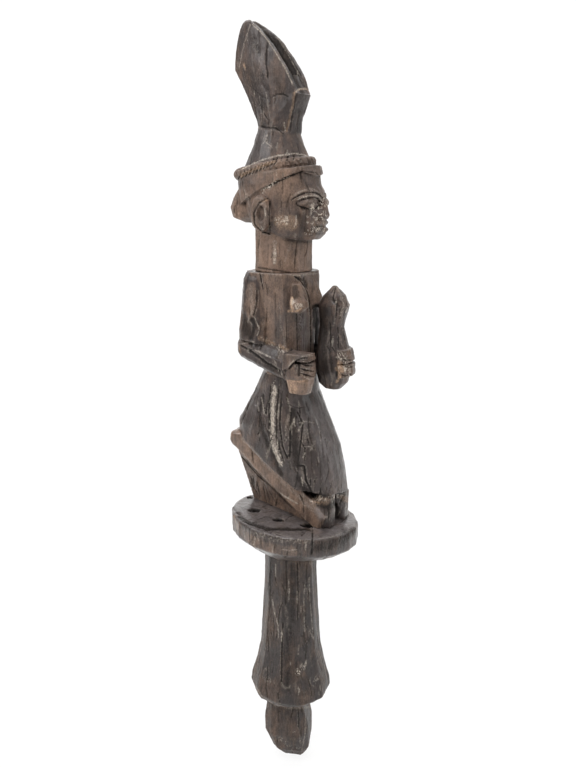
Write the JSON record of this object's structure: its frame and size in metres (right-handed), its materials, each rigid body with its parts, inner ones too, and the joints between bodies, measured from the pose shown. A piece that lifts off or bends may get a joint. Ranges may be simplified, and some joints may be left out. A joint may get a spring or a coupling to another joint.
{
  "type": "carved wooden dance wand",
  "caption": "Hand-held carved wooden dance wand: a kneeling figure with a gourd rattle under a tall channelled crest, on a pierced round plate above a faceted handle and finial.",
  "frame": {"origin": "centre of the grip, on the handle's axis, halfway between the top of the finial and the foot of the plate", "axes": "+Z along the handle towards the crest, the figure faces -Y, and its right side is at -X"},
  "size_m": [0.0854, 0.0878, 0.5024],
  "materials": {
    "dark_wood": "dark patinated hardwood, semi-gloss from handling",
    "brown_wood": "warm brown hardwood, satin",
    "worn_wood": "worn light brown hardwood, satin"
  },
  "bodies": {
    "root": {"finial": "dark_wood", "handle": "dark_wood", "base_plate": "dark_wood", "leg_support": "worn_wood", "right_lower_leg": "worn_wood", "left_lower_leg": "worn_wood", "right_knee": "dark_wood", "left_knee": "dark_wood", "wrapper": "dark_wood", "torso": "brown_wood", "neck": "brown_wood", "right_breast": "worn_wood", "left_breast": "worn_wood", "right_upper_arm": "dark_wood", "left_upper_arm": "dark_wood", "right_forearm": "dark_wood", "left_forearm": "dark_wood", "right_hand": "brown_wood", "held_handle_end": "worn_wood", "gourd_rattle": "dark_wood", "left_hand": "worn_wood", "head": "dark_wood", "right_ear": "brown_wood", "left_ear": "brown_wood", "nape_bun": "dark_wood", "hair_roll": "dark_wood", "headdress_band": "brown_wood", "headdress_cone": "dark_wood", "crest": "dark_wood", "crest_front_panel": "dark_wood"}
  },
  "joints": []
}
